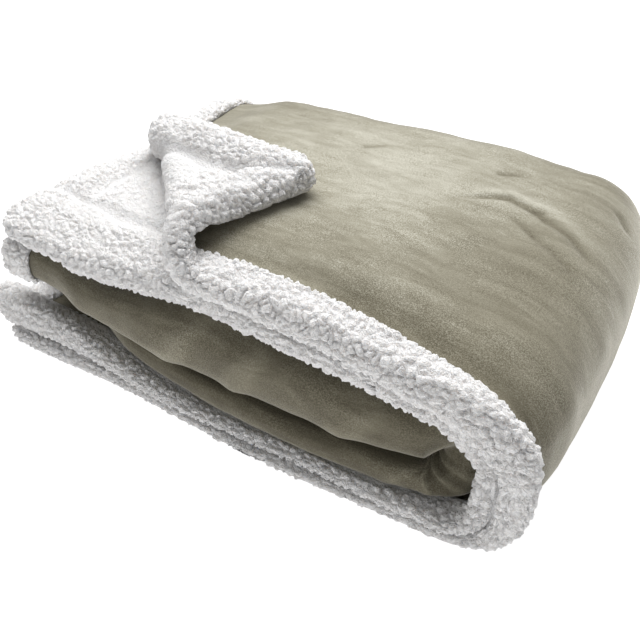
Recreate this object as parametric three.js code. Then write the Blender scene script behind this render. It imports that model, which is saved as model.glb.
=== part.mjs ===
// A fleece throw with a plush face and a sherpa backing, folded to eight layers.
// The cloth is folded in half twice across its width, and the strip that this gives
// is folded in half once more along the stack, with its turn at the right-hand end.
// Millimetres. X runs along the stack, Y from the near side to the far side, Z up.
import * as THREE from 'three';

const { lerp, clamp, smoothstep, degToRad } = THREE.MathUtils;

// The cloth, through its thickness w: 0 on the sherpa side, growing towards the face.
const PILE = { sherpa: 12, face: 3, border: 7.2, gap: 0.4 };
const FACE_LOW = PILE.sherpa + PILE.gap;
const FACE_HIGH = FACE_LOW + PILE.face;
const BORDER_LOW = FACE_HIGH + PILE.gap;
const HEM = BORDER_LOW + PILE.border;
const BODY_MIDDLE = FACE_HIGH / 2;

// The border is sherpa turned over the edge; the face ends a little way under it.
const BORDER = { width: 46, tuck: 8, rimRadius: 13, rimBlunt: 0.34, cornerRadius: 32, groove: 3 };
const FACE_INSET = BORDER.width - BORDER.tuck + 2;

// The folded stack. The lower half reaches a little further left than the upper one.
const STACK = { leftTop: -337, leftBottom: -372, turnCentre: 196, depth: 450, widest: 119 };
const STRAIGHT = STACK.turnCentre - STACK.leftTop;
const TURN = { length: 190, upperPower: 2.15, lowerPower: 3.1 };
const SQUEEZE = { top: 1, bottom: 0.8, topEnd: 0.86, bottomEnd: 0.8 };
const INNER_GAP = 4;

// Top of the stack, and the level where its upper and lower halves meet, along X.
const PROFILE = [
  { x: -337, topNear: 196, topFar: 181, middleNear: 89, middleFar: 92 },
  { x: -220, topNear: 198, topFar: 202, middleNear: 84, middleFar: 95 },
  { x: -60, topNear: 207, topFar: 209, middleNear: 81, middleFar: 98 },
  { x: 80, topNear: 208, topFar: 213, middleNear: 81, middleFar: 98 },
  { x: 196, topNear: 196, topFar: 203, middleNear: 83, middleFar: 94 },
];
const TOP_BLEND = { start: 60, end: 320 };
const MIDDLE_BLEND = { start: 20, end: 210 };
// The upper half sags at the near side, but not over the thick hems of the left end.
const FRONT_SAG = { drop: 15, start: 20, end: 170, from: -270, to: -40 };
const NEAR_DROOP = { height: 7, reach: 150 };
// The outer layer is lifted where its corner turns back.
const CREASE_LIFT = { height: 10, x: -85, spread: 105, start: 50, end: 190 };

// The right-hand end of the turn, from the near side to the far side.
const RIGHT_END = [
  { y: 0, x: 306 },
  { y: 270, x: 303 },
  { y: 388, x: 287 },
  { y: 450, x: 262 },
];

// The near side along the cloth: how plump each of the two rims is, how much of the
// border is crowded forward, how far the rims stand forward of the near side, and how far
// the rolled fold between them stands back.
const RIM = [
  { u: 0, outer: 1, inner: 1.1, crowd: 0, forward: 3, roll: 0 },
  { u: 100, outer: 1.15, inner: 1.2, crowd: 0, forward: 3, roll: 0 },
  { u: 250, outer: 1.4, inner: 1.3, crowd: 0, forward: 3, roll: -6 },
  { u: 440, outer: 1.3, inner: 1.2, crowd: 0.06, forward: 3, roll: -6 },
  { u: 533, outer: 1.5, inner: 1.2, crowd: 0.16, forward: 3, roll: 14 },
  { u: 590, outer: 1.95, inner: 1.25, crowd: 0.36, forward: 4, roll: 36 },
  { u: 640, outer: 1.5, inner: 1.2, crowd: 0.34, forward: 5, roll: 36 },
  { u: 723, outer: 0.95, inner: 0.88, crowd: 0.12, forward: 8, roll: 4 },
  { u: 790, outer: 0.84, inner: 0.8, crowd: 0.05, forward: 9, roll: -4 },
  { u: 890, outer: 0.78, inner: 0.74, crowd: 0, forward: 9, roll: -2 },
  { u: 980, outer: 0.82, inner: 0.8, crowd: 0, forward: 8, roll: 6 },
  { u: 1080, outer: 1.05, inner: 1.25, crowd: 0, forward: 6, roll: 18 },
  { u: 1180, outer: 1.15, inner: 2.1, crowd: 0, forward: 5, roll: 66 },
  { u: 1256, outer: 1.2, inner: 2.6, crowd: 0, forward: 4, roll: 76 },
];
const PLUMP_FADE = { start: 16, end: 62 };
const CROWD_REACH = 200;
const INNER_SET_BACK = 7;
const CORNER_PLUMP = { rise: 0.25, start: 120, end: 240 };

// Where each run of the section begins and ends, measured across the stack.
const SECTION = {
  rollFullness: 1.08,
  rollPower: 2.2,
  rollSample: 60,
  farBend: 46,
  innerFarBend: 37,
  hemBlend: 95,
  endHem: 72,
  endHemBlend: 118,
  layerGap: 1.2,
  rollClearance: 4,
};

// Lengths along the cloth, from one near hem round the folds to the other.
const ACROSS = [
  { run: 'outerLayer', length: 396, steps: 5 },
  { run: 'outerFarBend', length: 141, steps: 6 },
  { run: 'middleLayer', length: 344, steps: 4 },
  { run: 'nearRoll', length: 94, steps: 8 },
  { run: 'thirdLayer', length: 352, steps: 4 },
  { run: 'innerFarBend', length: 40, steps: 4 },
  { run: 'secondLayer', length: 404, steps: 5 },
];
const CLOTH = {
  length: 2 * STRAIGHT + TURN.length,
  width: ACROSS.reduce((sum, row) => sum + row.length, 0),
};
const STEPS = { straight: 7, turn: 10 };

// The corner of the outer layer that is turned back over the top.
const FLAP = {
  reach: 200,
  heading: degToRad(44.5),
  radius: 16,
  settle: 4,
  overHem: 9,
  slide: -0.44,
  steps: 6,
  squeeze: 0.5,
  squeezeStart: 34,
  squeezeEnd: 76,
};
const FLAP_IN = { u: Math.sin(FLAP.heading), v: Math.cos(FLAP.heading) };

// The left ends of the layers don't quite line up: how far each is shifted to the right.
const SHIFT = [
  { v: 0, top: 40, bottom: 0 },
  { v: 396, top: 2, bottom: 0 },
  { v: 537, top: -6, bottom: 0 },
  { v: 870, top: -12, bottom: 0 },
  { v: 980, top: -12, bottom: 0 },
  { v: 1400, top: -12, bottom: -10 },
  { v: 1771, top: -12, bottom: -14 },
];

// A smooth curve through the rows of a table, by one of its columns.
function follow(rows, key, column, at) {
  const last = rows.length - 1;
  const place = clamp(at, rows[0][key], rows[last][key]);
  let i = 0;
  while (i < last - 1 && rows[i + 1][key] < place) i += 1;
  const slope = (n) => {
    const a = rows[Math.max(n - 1, 0)];
    const b = rows[Math.min(n + 1, last)];
    return (b[column] - a[column]) / (b[key] - a[key]);
  };
  const span = rows[i + 1][key] - rows[i][key];
  const t = (place - rows[i][key]) / span;
  const s = 1 - t;
  return (
    s * s * (1 + 2 * t) * rows[i][column] +
    t * t * (3 - 2 * t) * rows[i + 1][column] +
    span * t * s * (s * slope(i) - t * slope(i + 1))
  );
}

// How far a soft edge wanders, as a slow wave.
function wander(at, size, period, phase) {
  return size * Math.sin((2 * Math.PI * at) / period + phase);
}

function topHeight(x, y) {
  const near = follow(PROFILE, 'x', 'topNear', x);
  const far = follow(PROFILE, 'x', 'topFar', x);
  const level = lerp(near, far, smoothstep(y, TOP_BLEND.start, TOP_BLEND.end));
  const droop = NEAR_DROOP.height * (1 - smoothstep(y, 0, NEAR_DROOP.reach));
  const bump = Math.exp(-(((x - CREASE_LIFT.x) / CREASE_LIFT.spread) ** 2));
  const lift = CREASE_LIFT.height * bump * (1 - smoothstep(y, CREASE_LIFT.start, CREASE_LIFT.end));
  return level - droop + lift;
}

function middleHeight(x, y) {
  const near = follow(PROFILE, 'x', 'middleNear', x);
  const far = follow(PROFILE, 'x', 'middleFar', x);
  const atFront = 1 - smoothstep(y, FRONT_SAG.start, FRONT_SAG.end);
  const sag = FRONT_SAG.drop * atFront * smoothstep(x, FRONT_SAG.from, FRONT_SAG.to);
  return lerp(near, far, smoothstep(y, MIDDLE_BLEND.start, MIDDLE_BLEND.end)) - sag;
}

// Where a point of the cloth lies along the folded strip.
function alongStrip(u) {
  const turned = clamp((u - STRAIGHT) / TURN.length, 0, 1);
  const onTop = turned < 0.5;
  const fromEdge = onTop ? u : CLOTH.length - u;
  const left = onTop ? STACK.leftTop : STACK.leftBottom;
  const endHem = 1 - smoothstep(fromEdge, SECTION.endHem, SECTION.endHemBlend);
  const inner = lerp(SQUEEZE.top, SQUEEZE.bottom, smoothstep(turned, 0, 1));
  return {
    u,
    turned,
    x: lerp(left, STACK.turnCentre, Math.min(fromEdge / STRAIGHT, 1)),
    squeeze: lerp(inner, onTop ? SQUEEZE.topEnd : SQUEEZE.bottomEnd, endHem),
    endHem,
  };
}

// The outline of the turn, from straight up, round the right-hand end, to straight down.
function turnOutline(turned, y) {
  const angle = Math.PI * (0.5 - turned);
  const upper = angle > 0;
  const power = 2 / (upper ? TURN.upperPower : TURN.lowerPower);
  const reach = follow(RIGHT_END, 'y', 'x', y) - STACK.turnCentre;
  const rise = upper ? topHeight(STACK.turnCentre, y) - STACK.widest : STACK.widest;
  return {
    x: STACK.turnCentre + reach * Math.cos(angle) ** power,
    z: STACK.widest + Math.sign(angle) * rise * Math.abs(Math.sin(angle)) ** power,
  };
}

// How far the outside of the stack is from its middle, at a place on the strip.
function outerReach(strip, y) {
  const middle = middleHeight(strip.x, y);
  if (strip.turned <= 0) return topHeight(strip.x, y) - middle;
  if (strip.turned >= 1) return middle;
  const rim = turnOutline(strip.turned, y);
  return Math.hypot(rim.x - STACK.turnCentre, rim.z - middle);
}

// A point at height h above the middle of the stack, folded round the turn.
function layDown(strip, x, y, h) {
  const middle = middleHeight(x, y);
  if (strip.turned <= 0) return { x, y, z: middle + h };
  if (strip.turned >= 1) return { x, y, z: Math.max(middle - h, 0) };
  const rim = turnOutline(strip.turned, y);
  const reach = outerReach(strip, y);
  return {
    x: x + ((rim.x - STACK.turnCentre) / reach) * h,
    y,
    z: Math.max(middle + ((rim.z - middle) / reach) * h, 0),
  };
}

// How plump a near rim is at a distance from its edge.
function plumpness(strip, hem, fromEdge) {
  const peak = follow(RIM, 'u', hem, strip.u);
  return 1 + (peak - 1) * (1 - smoothstep(fromEdge, PLUMP_FADE.start, PLUMP_FADE.end));
}

// How far the hem's two sides stand from the middle of the cloth's own body.
function hemAbove(plump) {
  return HEM / 2 - BODY_MIDDLE + (HEM / 2) * plump;
}

function hemBelow(plump) {
  return BODY_MIDDLE - HEM / 2 + (HEM / 2) * plump;
}

// Heights of the middle of each layer above the middle of the stack.
function layerHeights(strip, y) {
  const reach = outerReach(strip, y);
  const k = strip.squeeze;
  const outerPlump = plumpness(strip, 'outer', y);
  const innerPlump = plumpness(strip, 'inner', y);
  const nearHem = 1 - smoothstep(y, BORDER.width, SECTION.hemBlend);
  const anyHem = 1 - (1 - nearHem) * (1 - strip.endHem);
  const faceAbove = lerp(BODY_MIDDLE, hemAbove(1), strip.endHem);
  const freeOuter = reach - k * BODY_MIDDLE;
  const freeInner = INNER_GAP + k * BODY_MIDDLE;
  const pitch = (freeOuter - freeInner) / 3;
  const secondAtHem = reach - k * (HEM * outerPlump + hemBelow(innerPlump)) - SECTION.layerGap;
  const clearance = SECTION.rollClearance * lerp(1, 0.4, strip.turned) * nearHem * (1 - strip.endHem);
  const belowHems = 2 * SECTION.layerGap + clearance;
  const thirdAtHem = reach - k * (HEM * (outerPlump + innerPlump) + faceAbove) - belowHems;
  return {
    outer: reach - k * lerp(BODY_MIDDLE, hemAbove(outerPlump), anyHem),
    second: lerp(freeOuter - pitch, secondAtHem, anyHem),
    third: lerp(freeOuter - 2 * pitch, thirdAtHem, anyHem),
    inner: INNER_GAP + k * faceAbove,
  };
}

// Half an oval from one layer to the next; facing is 1 at the far side, -1 at the near
// side, outside is 1 where the cloth's face is on the outside of the bend, and a power
// above 2 squares the oval.
function bend(t, centreY, halfWidth, from, to, facing, outside, power = 2) {
  const angle = Math.PI * t;
  const halfHeight = Math.abs(from - to) / 2;
  const across = Math.max(Math.sin(angle), 0);
  const upright = Math.abs(Math.cos(angle));
  const sense = Math.sign(from - to) * Math.sign(Math.cos(angle));
  const ny = facing * halfHeight * across ** (2 - 2 / power);
  const nh = sense * halfWidth * upright ** (2 - 2 / power);
  const size = Math.hypot(ny, nh) * outside;
  return {
    y: centreY + facing * halfWidth * across ** (2 / power),
    h: (from + to) / 2 + sense * halfHeight * upright ** (2 / power),
    ny: ny / size,
    nh: nh / size,
  };
}

// The near rims: the border is crowded towards its edge where the strip turns.
function hemPlace(strip, edge, centre, t, length) {
  const crowd = follow(RIM, 'u', 'crowd', strip.u) * BORDER.width;
  const fromEdge = t * length;
  const gathered = smoothstep(fromEdge, 0, BORDER.width) - smoothstep(fromEdge, BORDER.width, CROWD_REACH);
  return lerp(edge, centre, t) - crowd * gathered;
}

// A point of the cloth's middle surface in the section, and the way its face looks.
function sectionPoint(strip, v) {
  let past = v;
  let row = 0;
  while (row < ACROSS.length - 1 && past > ACROSS[row].length) {
    past -= ACROSS[row].length;
    row += 1;
  }
  const { run, length } = ACROSS[row];
  const t = past / length;
  const thick = strip.squeeze * lerp(BODY_MIDDLE, hemAbove(1), strip.endHem);
  const heights = (y) => layerHeights(strip, y);
  const farEdge = STACK.depth - thick + wander(strip.u, 3, 520, 0.8);
  const outerCentre = farEdge - SECTION.farBend;
  const atFar = heights(outerCentre);
  const innerHalf = (atFar.second - atFar.third) / 2;
  const innerCentre = farEdge - SECTION.innerFarBend + BODY_MIDDLE - innerHalf;
  const atNear = heights(SECTION.rollSample);
  const rollHalf = (atNear.third - atNear.inner) / 2;
  const bulk = smoothstep(rollHalf, 10, 30);
  const rollWidth = rollHalf * lerp(1, SECTION.rollFullness, bulk);
  const rollPower = lerp(SECTION.rollPower, 2, smoothstep(strip.turned, 0, 1));
  const rollEdge = follow(RIM, 'u', 'roll', strip.u) + wander(strip.u, 3, 410, 2.1);
  const rollCentre = rollEdge + thick + rollWidth;
  const forward = follow(RIM, 'u', 'forward', strip.u);
  const outerHem = wander(strip.u, 2.5, 330, 0.4) - forward;
  const innerHem = wander(strip.u, 2.5, 290, 1.9) - forward + INNER_SET_BACK;
  const flat = (y, layer, facing) => ({ y, h: heights(y)[layer], ny: 0, nh: facing });
  switch (run) {
    case 'outerLayer':
      return flat(hemPlace(strip, outerHem, outerCentre, t, length), 'outer', 1);
    case 'outerFarBend':
      return bend(t, outerCentre, SECTION.farBend, atFar.outer, atFar.inner, 1, 1);
    case 'middleLayer':
      return flat(lerp(outerCentre, rollCentre, t), 'inner', -1);
    case 'nearRoll': {
      const at = heights(rollCentre);
      return bend(t, rollCentre, rollWidth, at.inner, at.third, -1, 1, rollPower);
    }
    case 'thirdLayer':
      return flat(lerp(rollCentre, innerCentre, t), 'third', 1);
    case 'innerFarBend': {
      const at = heights(innerCentre);
      return bend(t, innerCentre, innerHalf, at.third, at.second, 1, -1);
    }
    default:
      return flat(hemPlace(strip, innerHem, innerCentre, 1 - t, length), 'second', -1);
  }
}

// Distance past the crease of the turned-back corner, growing towards the corner.
function pastCrease(u, v) {
  return FLAP.reach - (FLAP_IN.u * u + FLAP_IN.v * v);
}

function onOuterTop(u, v) {
  return v < ACROSS[0].length && u < STRAIGHT;
}

// The turned-back corner: the outer layer rolls over its crease and lies face down on itself.
function turnBack(u, v, offset) {
  const r = FLAP.radius;
  const past = pastCrease(u, v);
  const angle = Math.min(past / r, Math.PI);
  const beyond = Math.max(past - Math.PI * r, 0);
  const inward = FLAP.reach - Math.sin(angle) * (r - offset) + beyond;
  const along = FLAP_IN.u * v - FLAP_IN.v * u + FLAP.slide * beyond;
  const backU = FLAP_IN.u * inward - FLAP_IN.v * along;
  const backV = FLAP_IN.v * inward + FLAP_IN.u * along;
  const onHem = 1 - smoothstep(Math.min(backU, backV), BORDER.width, SECTION.hemBlend);
  const rest = FLAP.overHem * onHem - FLAP.settle * (1 - onHem);
  return {
    u: backU,
    v: backV,
    lift: r - Math.cos(angle) * (r - offset) + rest * smoothstep(angle, 0, Math.PI),
  };
}

// The place along the strip for a point of a layer that is shifted at the left end.
function shifted(u, u0, v0) {
  const onTop = u0 < CLOTH.length / 2;
  const fromEdge = onTop ? u0 : CLOTH.length - u0;
  const shift = follow(SHIFT, 'v', onTop ? 'top' : 'bottom', v0) * (1 - smoothstep(fromEdge, 0, STRAIGHT));
  return alongStrip(onTop ? u + shift : u - shift);
}

// The corners of the cloth are cut and sewn round.
function roundCorner(u, v) {
  const radius = BORDER.cornerRadius;
  const fromU = Math.min(u, CLOTH.length - u);
  const fromV = Math.min(v, CLOTH.width - v);
  if (fromU >= radius || fromV >= radius) return { u, v };
  const a = radius - fromU;
  const b = radius - fromV;
  const pull = Math.max(a, b) / Math.hypot(a, b);
  const nearU = radius - a * pull;
  const nearV = radius - b * pull;
  return {
    u: u < CLOTH.length / 2 ? nearU : CLOTH.length - nearU,
    v: v < CLOTH.width / 2 ? nearV : CLOTH.width - nearV,
  };
}

function edgeDistance(u, v) {
  return Math.min(u, v, CLOTH.length - u, CLOTH.width - v);
}

// Height from the middle of the cloth's body: the rim is rounded and plump, and the
// border is pressed flatter where the turned-back corner creases it.
function throughCloth(u, v, w) {
  const edge = edgeDistance(u, v);
  const open = Math.min(edge / BORDER.rimRadius, 1);
  const round = BORDER.rimBlunt + (1 - BORDER.rimBlunt) * Math.sqrt(1 - (1 - open) ** 2);
  const strip = alongStrip(u);
  const outerPlump = plumpness(strip, 'outer', v);
  const innerPlump = plumpness(strip, 'inner', CLOTH.width - v);
  const atCorner = onOuterTop(u, v) ? 1 - smoothstep(v, CORNER_PLUMP.start, CORNER_PLUMP.end) : 0;
  const endPlump = 1 + CORNER_PLUMP.rise * atCorner * (1 - smoothstep(u, PLUMP_FADE.start, PLUMP_FADE.end));
  const plumpest = Math.max(outerPlump, innerPlump, endPlump);
  const plump = plumpest > 1 ? plumpest : Math.min(outerPlump, innerPlump);
  const offset = HEM / 2 - BODY_MIDDLE + (w - HEM / 2) * round * plump;
  const seat = BORDER_LOW - BODY_MIDDLE;
  if (offset < seat || !onOuterTop(u, v)) return offset;
  const fromFold = Math.abs(pastCrease(u, v) - (FLAP.radius * Math.PI) / 2);
  const pressed = FLAP.squeeze * (1 - smoothstep(fromFold, FLAP.squeezeStart, FLAP.squeezeEnd));
  return seat + (offset - seat) * (1 - pressed);
}

// A point of the flat cloth, at height w through it, where it lies in the folded stack.
function place(flatU, flatV, w) {
  const { u, v } = roundCorner(flatU, flatV);
  const offset = throughCloth(flatU, flatV, w);
  const past = Math.max(pastCrease(u, v), 0);
  if (past > 0) {
    const back = turnBack(u, v, offset);
    const strip = shifted(back.u, u + FLAP_IN.u * past, v + FLAP_IN.v * past);
    const base = sectionPoint(strip, Math.max(back.v, 0));
    return layDown(strip, strip.x, base.y + Math.min(back.v, 0), base.h + back.lift);
  }
  const strip = shifted(u, u, v);
  const base = sectionPoint(strip, v);
  const stand = strip.squeeze * offset;
  const ragged = strip.endHem * (wander(v, 4, 610, 0.3) + wander(v, 2, 240, 1.2));
  return layDown(strip, strip.x + ragged, base.y + base.ny * stand, base.h + base.nh * stand);
}

// Lines of the flat mesh: close together at the rims, even in between.
const RIM_LINES = [0, 5, BORDER.rimRadius, BORDER.width - BORDER.tuck, FACE_INSET, BORDER.width];

function evenly(from, to, steps) {
  return Array.from({ length: steps }, (_, i) => from + ((to - from) * (i + 1)) / steps);
}

function linesAlong() {
  const half = [...RIM_LINES, ...evenly(BORDER.width, STRAIGHT, STEPS.straight)];
  const turn = evenly(STRAIGHT, STRAIGHT + TURN.length, STEPS.turn);
  const back = half.slice(0, -1).reverse().map((u) => CLOTH.length - u);
  return [...half, ...turn, ...back];
}

function linesAcross() {
  const rim = [...RIM_LINES, PLUMP_FADE.end];
  const lines = [...rim];
  let start = 0;
  ACROSS.forEach(({ length, steps }) => {
    const from = Math.max(start, PLUMP_FADE.end);
    const to = Math.min(start + length, CLOTH.width - PLUMP_FADE.end);
    lines.push(...evenly(from, to, steps));
    start += length;
  });
  const last = rim.slice(0, -1).reverse().map((v) => CLOTH.width - v);
  return [...lines, ...last];
}

// Cuts every polygon that a line crosses; a cut edge gets one shared new point.
function cutCells(cells, points, side) {
  const touching = 1.5;
  const made = new Map();
  const value = (n) => (Math.abs(side(points[n])) < touching ? 0 : side(points[n]));
  const crossing = (a, b) => {
    const key = `${Math.min(a, b)},${Math.max(a, b)}`;
    if (!made.has(key)) {
      const from = side(points[a]);
      const t = from / (from - side(points[b]));
      made.set(key, points.length);
      points.push({ u: lerp(points[a].u, points[b].u, t), v: lerp(points[a].v, points[b].v, t) });
    }
    return made.get(key);
  };
  return cells.flatMap((cell) => {
    const sides = cell.map(value);
    if (!sides.some((s) => s > 0) || !sides.some((s) => s < 0)) return [cell];
    const over = [];
    const under = [];
    cell.forEach((n, i) => {
      const next = (i + 1) % cell.length;
      if (sides[i] >= 0) over.push(n);
      if (sides[i] <= 0) under.push(n);
      if (sides[i] * sides[next] >= 0) return;
      over.push(crossing(n, cell[next]));
      under.push(crossing(n, cell[next]));
    });
    return [over, under];
  });
}

// The flat cloth as polygons, cut along the lines where the turned-back corner rolls.
function flatMesh() {
  const along = linesAlong();
  const across = linesAcross();
  const points = along.flatMap((u) => across.map((v) => ({ u, v })));
  const id = (i, j) => i * across.length + j;
  let cells = [];
  for (let i = 0; i + 1 < along.length; i += 1) {
    for (let j = 0; j + 1 < across.length; j += 1) {
      cells.push([id(i, j), id(i + 1, j), id(i + 1, j + 1), id(i, j + 1)]);
    }
  }
  for (let n = 0; n <= FLAP.steps; n += 1) {
    const level = (Math.PI * FLAP.radius * n) / FLAP.steps;
    cells = cutCells(cells, points, (p) => pastCrease(p.u, p.v) - level);
  }
  return { points, cells };
}

// A closed solid from the flat cells. Levels are heights through the cloth, and filled
// says which of the layers between two levels a cell has, by its distance from the edge.
function clothSolid(flat, levels, filled) {
  const cells = flat.cells.map((corners) => {
    const sum = corners.reduce((total, n) => {
      const { u, v } = flat.points[n];
      return { u: total.u + u, v: total.v + v };
    }, { u: 0, v: 0 });
    const edge = edgeDistance(sum.u / corners.length, sum.v / corners.length);
    const has = Array.from({ length: levels.length - 1 }, (_, k) => filled(k, edge));
    return { corners, has };
  });
  const owner = new Map();
  cells.forEach((cell) => {
    cell.corners.forEach((n, i) => {
      owner.set(`${n},${cell.corners[(i + 1) % cell.corners.length]}`, cell);
    });
  });
  const ids = new Map();
  const positions = [];
  const index = [];
  const vertex = (n, k) => {
    const key = n * levels.length + k;
    if (!ids.has(key)) {
      const { u, v } = flat.points[n];
      const spot = place(u, v, levels[k](edgeDistance(u, v)));
      ids.set(key, positions.length / 3);
      positions.push(spot.x, spot.y, spot.z);
    }
    return ids.get(key);
  };
  const fan = (ring) => {
    for (let i = 1; i + 1 < ring.length; i += 1) index.push(ring[0], ring[i], ring[i + 1]);
  };
  cells.forEach(({ corners, has }) => {
    has.forEach((solid, k) => {
      if (!solid) return;
      if (!has[k + 1]) fan(corners.map((n) => vertex(n, k + 1)));
      if (!has[k - 1]) fan([corners[0], ...corners.slice(1).reverse()].map((n) => vertex(n, k)));
      corners.forEach((n, i) => {
        const next = corners[(i + 1) % corners.length];
        const beyond = owner.get(`${next},${n}`);
        if (beyond && beyond.has[k]) return;
        fan([vertex(n, k), vertex(next, k), vertex(next, k + 1), vertex(n, k + 1)]);
      });
    });
  });
  const geometry = new THREE.BufferGeometry();
  geometry.setAttribute('position', new THREE.Float32BufferAttribute(positions, 3));
  geometry.setIndex(index);
  geometry.computeVertexNormals();
  return geometry;
}

// Sherpa backing: the whole cloth, its hem, and the border lying on the face. A groove
// on its outside follows the seam of the border.
function sherpaBack(flat) {
  const seam = BORDER.width;
  const levels = [
    (edge) => (Math.abs(edge - seam) < 1 ? BORDER.groove : 0),
    () => PILE.sherpa,
    () => BORDER_LOW,
    () => HEM,
  ];
  const filled = (k, edge) => k === 0 || edge < (k === 1 ? seam - BORDER.tuck : seam);
  return clothSolid(flat, levels, filled);
}

// Plush face: a thin panel on the sherpa, its cut edge tucked under the border.
function fleeceFace(flat) {
  return clothSolid(flat, [() => FACE_LOW, () => FACE_HIGH], (k, edge) => edge > FACE_INSET);
}

function clothMesh(name, geometry, colour) {
  const material = new THREE.MeshStandardMaterial({ color: colour, roughness: 1, metalness: 0 });
  const mesh = new THREE.Mesh(geometry, material);
  mesh.name = name;
  return mesh;
}

const flat = flatMesh();
const throwGroup = new THREE.Group();
throwGroup.add(clothMesh('fleece_face', fleeceFace(flat), 0x9c9782));
throwGroup.add(clothMesh('sherpa_back', sherpaBack(flat), 0xe9e6e4));
const centre = new THREE.Box3().setFromObject(throwGroup).getCenter(new THREE.Vector3());
throwGroup.position.set(-centre.x, -centre.y, 0);

export default throwGroup;
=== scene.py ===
# A fleece throw, folded to eight layers: a plush face, and a sherpa backing that is
# turned over the edge as a wide padded border. Sizes of the cloth and places on it are
# in millimetres. Those of rays, pile, materials, camera and studio are in metres. In the
# folded stack X goes along it, Y from the near side to the far side, and Z up.
import math

import bpy
import numpy as np
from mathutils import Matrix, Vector
from mathutils.bvhtree import BVHTree

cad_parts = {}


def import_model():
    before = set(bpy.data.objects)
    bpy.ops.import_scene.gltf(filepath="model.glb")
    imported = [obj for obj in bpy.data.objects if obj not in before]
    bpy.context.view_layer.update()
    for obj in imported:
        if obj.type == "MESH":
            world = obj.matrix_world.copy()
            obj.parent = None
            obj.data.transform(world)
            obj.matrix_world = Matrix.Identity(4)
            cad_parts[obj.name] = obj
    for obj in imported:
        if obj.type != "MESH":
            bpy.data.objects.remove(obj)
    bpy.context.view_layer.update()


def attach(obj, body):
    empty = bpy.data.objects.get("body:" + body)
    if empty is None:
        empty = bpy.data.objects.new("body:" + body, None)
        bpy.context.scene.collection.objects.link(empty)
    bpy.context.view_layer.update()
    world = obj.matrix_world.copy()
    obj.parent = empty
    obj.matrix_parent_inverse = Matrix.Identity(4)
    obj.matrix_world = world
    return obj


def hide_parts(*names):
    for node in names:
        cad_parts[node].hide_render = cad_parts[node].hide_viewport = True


class Row(dict):
    """A few named sizes, read as row.name."""

    __getattr__ = dict.__getitem__


def table(columns, *rows):
    """Named columns of numbers."""
    names = columns.split()
    return Row({name: np.array(values, float) for name, values in zip(names, zip(*rows))})


def lines_on_cloth(*lines):
    """Lines through points, each with its place, width and depth."""
    rows = [(number, *point) for number, line in enumerate(lines) for point in line]
    return table("line u v width depth", *rows)


MM = 0.001
TINY = 1e-9

# The cloth, through its thickness
PILE = Row(sherpa=12.0, face=3.0, border=7.2, gap=0.4)
FACE_LOW = PILE.sherpa + PILE.gap
FACE_HIGH = FACE_LOW + PILE.face
BORDER_LOW = FACE_HIGH + PILE.gap
HEM = BORDER_LOW + PILE.border
BODY_MIDDLE = FACE_HIGH / 2
BORDER = Row(
    width=46.0, tuck=8.0, play=2.0, rim_radius=15.0, rim_blunt=0.1, inner_blunt=0.74,
    corner_radius=32.0, shoulder=11.0, lip=1.2,
)
FACE_INSET = BORDER.width - BORDER.tuck + BORDER.play

# Levels of the sherpa's mesh that the pile grows on: its underside, the highest one below
# the border's top, and the border's top
(UNDERSIDE, BELOW_BORDER, BORDER_TOP) = (0, 3, 4)

# The folded stack
STACK = Row(left_top=-337.0, left_bottom=-372.0, turn_centre=196.0, depth=450.0, widest=119.0)
STRAIGHT = STACK.turn_centre - STACK.left_top
TURN = Row(length=190.0, upper_power=2.15, lower_power=3.1)
SQUEEZE = Row(top=1.0, bottom=0.8, top_end=0.86, bottom_end=0.8)
INNER_GAP = 1.4
STACK_TO_PART = (41.939, -220.823, 0.0)

# Top of the stack, and the level where its two halves meet
PROFILE = table(
    "x top_near top_far middle_near middle_far",
    (-337, 196, 181, 89, 92),
    (-220, 198, 202, 84, 95),
    (-60, 207, 209, 81, 98),
    (80, 208, 213, 81, 98),
    (196, 196, 203, 83, 94),
)
TOP_BLEND = Row(start=60, end=320)
MIDDLE_BLEND = Row(start=20, end=210)
FRONT_SAG = Row(drop=15.0, start=20, end=170, x_from=-270, x_to=-40)
NEAR_DROOP = Row(height=7.0, reach=150)
CREASE_LIFT = Row(height=10.0, x=-85.0, spread=105.0, start=50, end=190)
RIGHT_END = table("y x", (0, 306), (270, 303), (388, 287), (450, 262))

# The near side along the cloth: how plump the two rims are, how much of the border is
# crowded forward, how far the rims stand forward, and how far the roll stands back
RIM = table(
    "u outer inner crowd forward roll",
    (0, 1, 1.1, 0, 3, 0),
    (100, 1.15, 1.2, 0, 3, 0),
    (250, 1.4, 1.3, 0, 3, -6),
    (440, 1.3, 1.2, 0.06, 3, -6),
    (533, 1.5, 1.2, 0.16, 3, 14),
    (590, 1.95, 1.25, 0.36, 4, 36),
    (640, 1.5, 1.2, 0.34, 5, 36),
    (723, 0.95, 0.88, 0.12, 8, 4),
    (790, 0.84, 0.8, 0.05, 9, -4),
    (890, 0.78, 0.74, 0, 9, -2),
    (980, 0.82, 0.8, 0, 8, 6),
    (1080, 1.05, 1.25, 0, 6, 18),
    (1180, 1.15, 2.1, 0, 5, 66),
    (1256, 1.2, 2.6, 0, 4, 76),
)
PLUMP_FADE = Row(start=16, end=62)
CROWD_REACH = 200
INNER_SET_BACK = Row(top=7.0, bottom=3.0)
CORNER_PLUMP = Row(rise=0.25, start=120, end=240)
SECTION = Row(
    roll_fullness=1.08, roll_power=3.0, lower_roll_power=2.6, lower_clearance=0.4,
    roll_sample=60.0, far_bend=46.0, inner_far_bend=37.0, bulk_start=10, bulk_end=30,
    hem_blend=95, end_hem=72, end_hem_blend=118, layer_gap=1.2, roll_clearance=4.0,
)

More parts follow.
